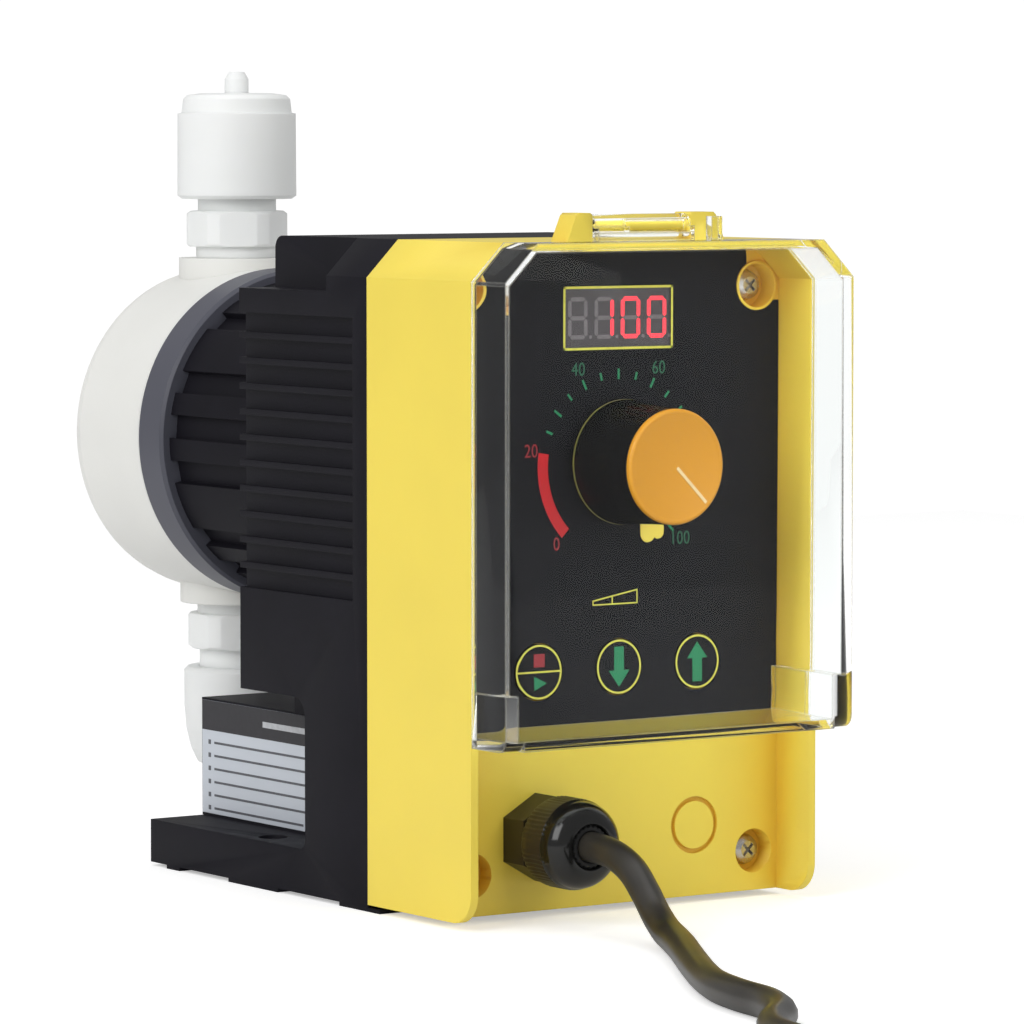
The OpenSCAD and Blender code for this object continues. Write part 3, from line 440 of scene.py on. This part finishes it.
def add_piece(name, mesh, look, body, sharp_angle=35):
    """A mesh as a piece that rides on a body."""
    mesh.materials.clear()
    mesh.materials.append(LOOKS[look])
    mesh.shade_smooth()
    mesh.set_sharp_from_angle(angle=math.radians(sharp_angle))
    piece = bpy.data.objects.new(name, mesh)
    bpy.context.scene.collection.objects.link(piece)
    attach(piece, body)
    return piece


def mesh_of(name, build):
    """A mesh filled in by build(bm)."""
    bm = bmesh.new()
    build(bm)
    bmesh.ops.remove_doubles(bm, verts=bm.verts, dist=0.001 * MM)
    bmesh.ops.recalc_face_normals(bm, faces=bm.faces)
    mesh = bpy.data.meshes.new(name)
    bm.to_mesh(mesh)
    bm.free()
    return mesh


def turned(name, outline, place, along, look, body, sides=96, ribs=None):
    """A solid of revolution. outline is a closed list of (radius, reach along the axis), and ribs changes a radius."""
    axis = {"y": (Vector((1, 0, 0)), Vector((0, 0, 1)), Vector((0, 1, 0))),
            "z": (Vector((1, 0, 0)), Vector((0, 1, 0)), Vector((0, 0, 1)))}[along]

    def build(bm):
        rings = []
        for side in range(sides):
            angle = math.tau * side / sides
            ring = []
            for radius, reach in outline:
                if ribs:
                    radius = ribs(angle, radius, reach)
                point = Vector(place) + axis[2] * reach
                point += radius * (math.cos(angle) * axis[0] + math.sin(angle) * axis[1])
                ring.append(bm.verts.new(point))
            rings.append(ring)
        count = len(outline)
        for side in range(sides):
            here, there = rings[side], rings[(side + 1) % sides]
            for k in range(count):
                bm.faces.new((here[k], here[(k + 1) % count], there[(k + 1) % count], there[k]))
        bmesh.ops.dissolve_degenerate(bm, dist=0.001 * MM, edges=bm.edges)

    return add_piece(name, mesh_of(name, build), look, body)


def prisms(bm, outlines, front, thick=PRINT_T):
    """Flat shapes on a plane that faces -Y: each outline is a list of (x, z), made into a thin closed plate."""
    for outline in outlines:
        near = [bm.verts.new((x, front - thick, z)) for x, z in outline]
        far = [bm.verts.new((x, front, z)) for x, z in outline]
        bm.faces.new(near)
        bm.faces.new(far[::-1])
        for k in range(len(outline)):
            after = (k + 1) % len(outline)
            bm.faces.new((near[k], far[k], far[after], near[after]))


def add_print(name, outlines, front, look, body="housing", thick=PRINT_T):
    """Ink on a plane that faces -Y."""
    return add_piece(name, mesh_of(name, lambda bm: prisms(bm, outlines, front, thick)), look, body)


def arc_band(x, z, inner, outer, start, end, steps=24):
    """The outline of a stretch of ring, from start to end degrees."""
    angles = [math.radians(start + (end - start) * k / steps) for k in range(steps + 1)]
    out = [(x + outer * math.cos(a), z + outer * math.sin(a)) for a in angles]
    back = [(x + inner * math.cos(a), z + inner * math.sin(a)) for a in reversed(angles)]
    return out + back


def ring_bands(x, z, inner, outer):
    """The outlines of a whole ring, in two halves."""
    return [arc_band(x, z, inner, outer, 0, 180, 40), arc_band(x, z, inner, outer, 180, 360, 40)]


def bar(start, end, width):
    """The outline of a straight line of ink."""
    run = (Vector(end) - Vector(start)).normalized()
    side = Vector((-run.y, run.x)) * width / 2
    a, b = Vector(start), Vector(end)
    return [tuple(a + side), tuple(a - side), tuple(b - side), tuple(b + side)]


def line_loop(points, width):
    """Ink along a closed line, with its corners filled."""
    count = len(points)
    lines = []
    for k in range(count):
        a, b = Vector(points[k]), Vector(points[(k + 1) % count])
        run = (b - a).normalized() * width / 2
        lines.append(bar(a - run, b + run, width))
    return lines


# ---------- Softened copies of CAD nodes ----------


def softened(node, width, look, body="housing", segments=2, angle=40):
    """A copy of a CAD node with its sharp edges rounded, which stands for the node."""
    def build(bm):
        bm.from_mesh(nodes[node].data)
        bmesh.ops.remove_doubles(bm, verts=bm.verts, dist=0.002 * MM)
        bmesh.ops.dissolve_limit(bm, angle_limit=math.radians(0.5), verts=bm.verts, edges=bm.edges)
        edges = [e for e in bm.edges if len(e.link_faces) == 2 and e.calc_face_angle(0) > math.radians(angle)]
        bmesh.ops.bevel(bm, geom=edges, offset=width, segments=segments, profile=0.5, affect="EDGES",
                        clamp_overlap=True)

    piece = add_piece(node + "_soft", mesh_of(node + "_soft", build), look, body, 30)
    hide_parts(node)
    return piece


# ---------- Mains lead ----------

CORD_D = 6.8 * MM
CORD_ROUTE = [
    (-22.3, -95, 18.5), (-22.3, -105, 18.5), (-22.3, -111.8, 17.6), (-22.4, -118.2, 15), (-22.9, -123.8, 10.8),
    (-24.1, -129.5, 6.7), (-26.1, -135.9, 4.2), (-28.8, -142.7, 3.4), (-34.7, -153.6, 3.4), (-41.1, -164.6, 3.4),
    (-47.6, -175.9, 3.4), (-54.4, -188.2, 3.4), (-60.3, -200.8, 3.4), (-63.4, -212.8, 3.4), (-65.2, -224.5, 3.4),
    (-70.5, -235.5, 3.4), (-79.7, -245, 3.4), (-86.3, -256.1, 3.4), (-87.6, -269.1, 3.4), (-83.2, -281.3, 3.4),
    (-74.1, -290.6, 3.4), (-62, -295.1, 3.4), (-49, -294.1, 3.4), (-37, -287.1, 3.4), (-31, -281.4, 3.4),
]
PLUG_ROUTE = [
    (48.5, -314, 10.7), (48.5, -321, 12.4), (48.5, -328, 15), (48.5, -335, 17.2), (48.5, -342, 18), (48.5, -352, 18),
]
COIL_CENTRE = (5, -307)
COIL_OUTER = 43.5
COIL_START = 133.8
COIL_TURNS = 5 + COIL_START / 360
COIL_LOW, COIL_HIGH = 3.4, 10.2
COIL_STEPS = 36
CLIMB_TURNS = 0.28


def coil_points():
    """Two layers, wound clockwise: inwards on the floor, then outwards on top."""
    points = []
    steps = round(COIL_TURNS * COIL_STEPS)
    pitch = CORD_D / MM
    middle = COIL_TURNS / 2
    x, y = COIL_CENTRE
    for k in range(steps + 1):
        turn = COIL_TURNS * k / steps
        radius = COIL_OUTER - pitch * (middle - abs(turn - middle))
        climb = min(max((turn - middle) / CLIMB_TURNS + 0.5, 0), 1)
        climb = climb * climb * (3 - 2 * climb)
        angle = math.radians(COIL_START - 360 * turn)
        height = COIL_LOW + (COIL_HIGH - COIL_LOW) * climb
        points.append((x + radius * math.cos(angle), y + radius * math.sin(angle), height))
    return points


def smooth_line(points, steps):
    """A smooth line through points, with steps stretches between each two."""
    points = [Vector(p) for p in points]
    padded = [2 * points[0] - points[1]] + points + [2 * points[-1] - points[-2]]
    line = []
    for k in range(1, len(padded) - 2):
        before, a, b, after = padded[k - 1:k + 3]
        for step in range(steps):
            t = step / steps
            line.append(0.5 * (2 * a + (b - before) * t + (2 * before - 5 * a + 4 * b - after) * t ** 2
                               + (3 * a - before - 3 * b + after) * t ** 3))
    return line + [points[-1]]


def add_cord():
    """The lead, from inside the gland to inside the plug."""
    line = [p * MM for p in smooth_line(CORD_ROUTE + coil_points()[::3] + PLUG_ROUTE, 4)]
    curve = bpy.data.curves.new("mains_lead", "CURVE")
    curve.dimensions = "3D"
    curve.bevel_depth = CORD_D / 2
    curve.bevel_resolution = 5
    curve.use_fill_caps = True
    curve.materials.append(LOOKS["cord"])
    spline = curve.splines.new("POLY")
    spline.points.add(len(line) - 1)
    for point, place in zip(spline.points, line):
        point.co = (*place, 1)
    spline.use_smooth = True
    cord = bpy.data.objects.new("mains_lead", curve)
    bpy.context.scene.collection.objects.link(cord)
    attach(cord, "housing")
    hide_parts("power_cord", "cord_coil")


# ---------- Prints on the panel ----------

DIAL_ZERO = 225
DEGREES_PER_PERCENT = 2.7
LONG_TICK = (19.6 * MM, 22.0 * MM)
SHORT_TICK = (19.9 * MM, 21.7 * MM)
TICK_WIDTH = 0.55 * MM
ARC_INNER, ARC_OUTER = 19.7 * MM, 22.5 * MM
NUMBER_RADIUS = 24.6 * MM
NUMBER_HEIGHT = 3 * MM
FIGURE_SHARE = 0.7
WEDGE_LINE = 0.32 * MM
BORDER_LINE = 0.55 * MM
KEY_LINE = 0.4 * MM
KEY_RING_INNER, KEY_RING_OUTER = 5.75 * MM, 6.2 * MM


def dial_angle(percent):
    """Where the dial shows a percentage, in degrees: 0 is low on the left, 100 low on the right."""
    return DIAL_ZERO - DEGREES_PER_PERCENT * percent


def polar(radius, degrees, about=DIAL_PRINT):
    """The (x, z) at a radius and an angle."""
    angle = math.radians(degrees)
    return (about.x + radius * math.cos(angle), about.z + radius * math.sin(angle))


def add_number(text, place, height, look):
    """A figure on the panel, its middle at place. A figure takes up FIGURE_SHARE of its font's size."""
    curve = bpy.data.curves.new("number_" + text, "FONT")
    curve.body = text
    curve.size = height / FIGURE_SHARE
    curve.align_x = "CENTER"
    curve.align_y = "CENTER"
    curve.extrude = PRINT_T / 2
    curve.space_character = 1.05
    curve.materials.append(LOOKS[look])
    number = bpy.data.objects.new("number_" + text, curve)
    number.location = (place[0], FILM_Y - PRINT_T / 2, place[1])
    number.rotation_euler = (math.radians(90), 0, 0)
    number.scale = (0.86, 1, 1)
    bpy.context.scene.collection.objects.link(number)
    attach(number, "housing")


def add_dial():
    """Ticks from 25 to 100, a red arc from 0 to 20, and a number at every 20."""
    ticks = []
    for percent in range(25, 101, 5):
        inner, outer = LONG_TICK if percent % 10 == 0 else SHORT_TICK
        angle = dial_angle(percent)
        ticks.append(bar(polar(inner, angle), polar(outer, angle), TICK_WIDTH))
    add_print("dial_ticks", ticks, FILM_Y, "green")
    arc = arc_band(DIAL_PRINT.x, DIAL_PRINT.z, ARC_INNER, ARC_OUTER, dial_angle(20), dial_angle(0))
    add_print("dial_arc", [arc], FILM_Y, "red")
    for percent in range(0, 101, 20):
        look = "dull_red" if percent < 40 else "dull_green"
        add_number(str(percent), polar(NUMBER_RADIUS, dial_angle(percent)), NUMBER_HEIGHT, look)


def add_wedge():
    """The symbol under the dial: a rising wedge with one division."""
    left, middle, right = -6.9 * MM, -1.5 * MM, 5.5 * MM
    low, short, tall = 70 * MM, 70.9 * MM, 73 * MM
    outline = line_loop([(left, low), (right, low), (right, tall), (left, short)], WEDGE_LINE)
    slope = (tall - short) / (right - left)
    outline.append(bar((middle, low), (middle, short + slope * (middle - left)), WEDGE_LINE))
    add_print("wedge", outline, FILM_Y, "olive")


def arrow(x, z, up):
    """The outline of an arrow, 9.2 mm long."""
    sign = 1 if up else -1
    points = [(0, 4.6), (2.9, 0.8), (1.35, 0.8), (1.35, -4.6), (-1.35, -4.6), (-1.35, 0.8), (-2.9, 0.8)]
    return [(x + a * MM, z + sign * b * MM) for a, b in points]


def add_key_prints():
    """A ring on each key, arrows on two, and a red square over a green triangle on the third."""
    for key in ("key_start", "key_down", "key_up"):
        place = centre(key)
        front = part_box(key)[0].y
        add_print(key + "_ring", ring_bands(place.x, place.z, KEY_RING_INNER, KEY_RING_OUTER), front, "olive", key)
        if key == "key_start":
            half = 5.8 * MM
            line = bar((place.x - half, place.z), (place.x + half, place.z), KEY_LINE)
            add_print(key + "_line", [line], front, "olive", key)
            for name, corners, look in (("square", ((-1.5, 1.1), (1.5, 1.1), (1.5, 4.1), (-1.5, 4.1)), "dull_red"),
                                        ("triangle", ((-1.4, -4.2), (2.1, -2.6), (-1.4, -1.0)), "green")):
                outline = [(place.x + a * MM, place.z + b * MM) for a, b in corners]
                add_print(key + "_" + name, [outline], front, look, key)
        else:
            add_print(key + "_arrow", [arrow(place.x, place.z, key == "key_up")], front, "green", key)


def add_display():
    """A frame round the window, and four seven-segment digits behind it that read 100."""
    low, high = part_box("display_window")
    border = line_loop([(low.x, low.z), (high.x, low.z), (high.x, high.z), (low.x, high.z)], BORDER_LINE)
    add_print("display_border", border, FILM_Y, "olive")
    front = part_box("display_module")[0].y
    middle = centre("display_window")
    wide, tall, thick, pitch = 4.4 * MM, 8.6 * MM, 0.95 * MM, 7.3 * MM
    dot_gap, dot_in, dot_out = 1.35 * MM, 0.01 * MM, 0.42 * MM
    lit, unlit = [], []
    shown = ["", "bc", "abcdef", "abcdef"]
    for digit, names in enumerate(shown):
        x = middle.x + (digit - 1.5) * pitch
        left, right = x - wide / 2, x + wide / 2
        low_z, mid_z, top_z = middle.z - tall / 2, middle.z, middle.z + tall / 2
        segments = {"a": ((left, top_z), (right, top_z)), "b": ((right, mid_z), (right, top_z)),
                    "c": ((right, low_z), (right, mid_z)), "d": ((left, low_z), (right, low_z)),
                    "e": ((left, low_z), (left, mid_z)), "f": ((left, mid_z), (left, top_z)),
                    "g": ((left, mid_z), (right, mid_z))}
        for name, (start, end) in segments.items():
            (lit if name in names else unlit).append(segment(Vector(start), Vector(end), thick))
        unlit.append(arc_band(right + dot_gap, low_z, dot_in, dot_out, 0, 350, 14))
    add_print("display_unlit", unlit, front, "unlit", thick=0.03 * MM)
    add_print("display_lit", lit, front, "lit", thick=0.05 * MM)


def segment(start, end, thick):
    """The outline of one display segment, a bar with pointed ends."""
    run = (end - start).normalized()
    side = Vector((-run.y, run.x)) * thick / 2
    a, b = start + run * thick * 0.6, end - run * thick * 0.6
    tip = run * thick * 0.45
    return [tuple(p) for p in (a - tip, a - side, b - side, b + tip, b + side, a + side)]


# ---------- Label on the pedestal ----------


def add_label_prints():
    """A dark head over a pale field with ruled lines, on the side that faces -X."""
    low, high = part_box("base_label")
    face = low.x
    head = high.z - 7.2 * MM
    rule_pitch, rule_width = 3.2, 0.55 * MM
    indents = (0, 7, 2, 12, 0, 20)

    def plate(name, boxes, look, face=face):
        """Thin plates on the label, each from y0 to y1 and z0 to z1."""
        def build(bm):
            for y0, y1, z0, z1 in boxes:
                outline = ((y0, z0), (y1, z0), (y1, z1), (y0, z1))
                verts = [bm.verts.new((x, y, z)) for x in (face - PRINT_T, face) for y, z in outline]
                bm.faces.new(verts[:4])
                bm.faces.new(verts[:3:-1])
                for k in range(4):
                    after = (k + 1) % 4
                    bm.faces.new((verts[k], verts[k + 4], verts[after + 4], verts[after]))
        add_piece(name, mesh_of(name, build), look, "housing")

    plate("label_head", [(low.y, high.y, head, high.z)], "label_dark")
    front, back = low.y + 3 * MM, high.y - 4 * MM
    bar_end = front + 38 * MM
    plate("label_head_rule", [(front, bar_end, head + 2.8 * MM, head + 4.2 * MM)], "label_pale", face - PRINT_T)
    rules, marks = [], []
    for k, indent in enumerate(indents):
        z = head - (rule_pitch + rule_pitch * k) * MM
        rules.append((front + indent * MM, back - 1.6 * MM, z, z + rule_width))
        marks.append((back, back + 1.1 * MM, z - 0.2 * MM, z + 0.9 * MM))
    plate("label_rules", rules, "label_grey")
    plate("label_marks", marks, "label_grey")


# ---------- Knob, gland, rounded mouldings and soft insides ---


def add_knob():
    """The knob's body with flutes round its grip, a thin olive ring at its back that is a painted reflection, its cap,
    and the pointer line.
    """
    low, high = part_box("knob_body")
    radius = (high.x - low.x) / 2
    back, front = high.y, low.y
    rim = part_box("knob_cap")[0].y + 1.25 * MM

    def flutes(angle, r, y):
        """Forty shallow flutes round the front of the grip."""
        grip = front + 0.2 * MM < y < front + 8 * MM and r > radius - 2 * MM
        return r - 0.28 * MM * (0.5 + 0.5 * math.cos(40 * angle)) if grip else r

    outline = [
        (3 * MM, back), (5.6 * MM, back), (5.6 * MM, back - 9 * MM), (radius - 2.4 * MM, back - 9 * MM),
        (radius - 2.4 * MM, back), (radius - 0.2 * MM, back), (radius, back - 0.25 * MM), (radius, back - 1.2 * MM),
        (radius - 0.25 * MM, back - 1.7 * MM), (radius - 0.75 * MM, front + 8.4 * MM),
        (radius - 0.8 * MM, front + 7.9 * MM), (radius - 1.1 * MM, front + 0.8 * MM),
        (radius - 1.1 * MM, front + 0.35 * MM), (radius - 1.3 * MM, front + 0.1 * MM),
        (radius - 1.6 * MM, front), (radius - 2.2 * MM, front), (radius - 2.2 * MM, front + 2 * MM),
        (3 * MM, front + 2 * MM),
    ]
    body = turned("knob_grip", outline, (DIAL.x, 0, DIAL.z), "y", "knob", "knob", 240, flutes)
    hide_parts("knob_body")
    # Painted reflection: a thin olive ring round the back of the skirt stands in for the yellow cover reflected in the
    # knob's rim.
    reflection_in, reflection_out, reflection_front = radius - 0.4 * MM, radius + 0.06 * MM, back - 0.5 * MM
    band = [(reflection_in, back), (reflection_out, back), (reflection_out, reflection_front), (reflection_in, reflection_front)]
    turned("knob_painted_rim_reflection", band, (DIAL.x, 0, DIAL.z), "y", "olive_rim_reflection", "knob", 160)
    cap_low, cap_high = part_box("knob_cap")
    cap_r = (cap_high.x - cap_low.x) / 2
    face = cap_low.y
    dish = face + 0.22 * MM
    cap_outline = [
        (0, cap_high.y), (cap_r - 1.1 * MM, cap_high.y), (cap_r - 1.1 * MM, rim), (cap_r, rim),
        (cap_r, face + 0.6 * MM), (cap_r - 0.12 * MM, face + 0.3 * MM), (cap_r - 0.35 * MM, face + 0.1 * MM),
        (cap_r - 0.7 * MM, face), (cap_r - 1.1 * MM, face + 0.12 * MM), (cap_r - 1.3 * MM, dish),
        (0, dish),
    ]
    cap = turned("knob_lid", cap_outline, (DIAL.x, 0, DIAL.z), "y", "cap", "knob", 160)
    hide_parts("knob_cap")
    angle = dial_angle(100)
    pointer = [bar(polar(0.3 * MM, angle, DIAL), polar(cap_r - 1.3 * MM, angle, DIAL), 0.75 * MM)]
    add_print("knob_pointer", pointer, dish, "cream", "knob", 0.08 * MM)


def add_gland():
    """The gland's cap nut, ribbed round its back and domed round its front, and its toothed seal."""
    low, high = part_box("gland_nut")
    place = centre("gland_nut")
    back, front, radius = high.y, low.y, (high.x - low.x) / 2
    bore, throat, mouth = 7.7 * MM, 5 * MM, 5.3 * MM
    ribs_end = back - 8 * MM
    dome_start, dome_end, dome_r = back - 8.6 * MM, front, radius - 0.45 * MM
    dome_steps = 12

    def ribs(angle, r, y):
        """Sixty fine ribs round the back of the nut, broken by six flats."""
        if ribs_end < y < back - 0.3 * MM and r > radius - 1.2 * MM:
            flat = math.cos(3 * angle) ** 8
            return r - 0.22 * MM * (0.5 + 0.5 * math.cos(60 * angle)) * (1 - flat) - 0.1 * MM * flat
        return r

    outline = [
        (bore, back), (radius - 0.8 * MM, back), (radius - 0.2 * MM, back - 0.5 * MM), (radius, back - 1 * MM),
        (radius, back - 3 * MM), (radius, back - 5 * MM), (radius, back - 7.4 * MM),
        (radius - 0.1 * MM, ribs_end), (dome_r, dome_start),
    ]
    for k in range(1, dome_steps + 1):
        turn = math.pi / 2 * k / dome_steps
        radius_here = mouth + (dome_r - mouth) * math.cos(turn)
        outline.append((radius_here, dome_start + (dome_end - dome_start) * math.sin(turn)))
    outline += [(throat, front + 0.3 * MM), (throat, back - 6.4 * MM), (bore, back - 5 * MM)]
    nut = turned("gland_cap", outline, (place.x, 0, place.z), "y", "gland", "housing", 360, ribs)
    nut.data.materials.append(LOOKS["gland_gloss"])
    for polygon in nut.data.polygons:
        if polygon.center.y < dome_start + 0.4 * MM:
            polygon.material_index = 1
    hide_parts("gland_nut")

    def teeth(angle, r, _):
        """Twenty-two notches round the seal's outside."""
        return r - 0.35 * MM * (0.5 + 0.5 * math.cos(22 * angle)) if r > 4.4 * MM else r

    inner = CORD_D / 2 + 0.06 * MM
    seal = [(inner, front + 3 * MM), (4.85 * MM, front + 3 * MM), (4.85 * MM, front + 0.6 * MM),
            (4.6 * MM, front + 0.3 * MM), (inner + 0.3 * MM, front + 0.3 * MM), (inner, front + 0.6 * MM)]
    turned("gland_teeth", seal, (place.x, 0, place.z), "y", "rubber", "housing", 176, teeth)


def add_bodies():
    """Rounded copies of the mouldings that show."""
    softened("front_cover", 0.45 * MM, "yellow")
    softened("rear_housing", 0.35 * MM, "black")
    softened("clear_cover", 0.5 * MM, "clear", "lid", 3)


def add_soft_insides():
    """Copies of the return spring and the diaphragm, each with a mesh of its own, in place of the CAD nodes."""
    for node, look, give in (("return_spring", "steel", 1.5 * MM), ("diaphragm", "rubber", 1.4 * MM)):
        piece = add_piece(node + "_soft", nodes[node].data.copy(), look, "housing")
        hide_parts(node)
        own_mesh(piece)


# ---------- The whole ----------

add_camera()
LOOKS = make_materials()
add_cord()
dress_frame()
add_stage()
add_dial()
add_wedge()
add_key_prints()
add_display()
add_label_prints()
add_knob()
add_gland()
add_bodies()
add_soft_insides()
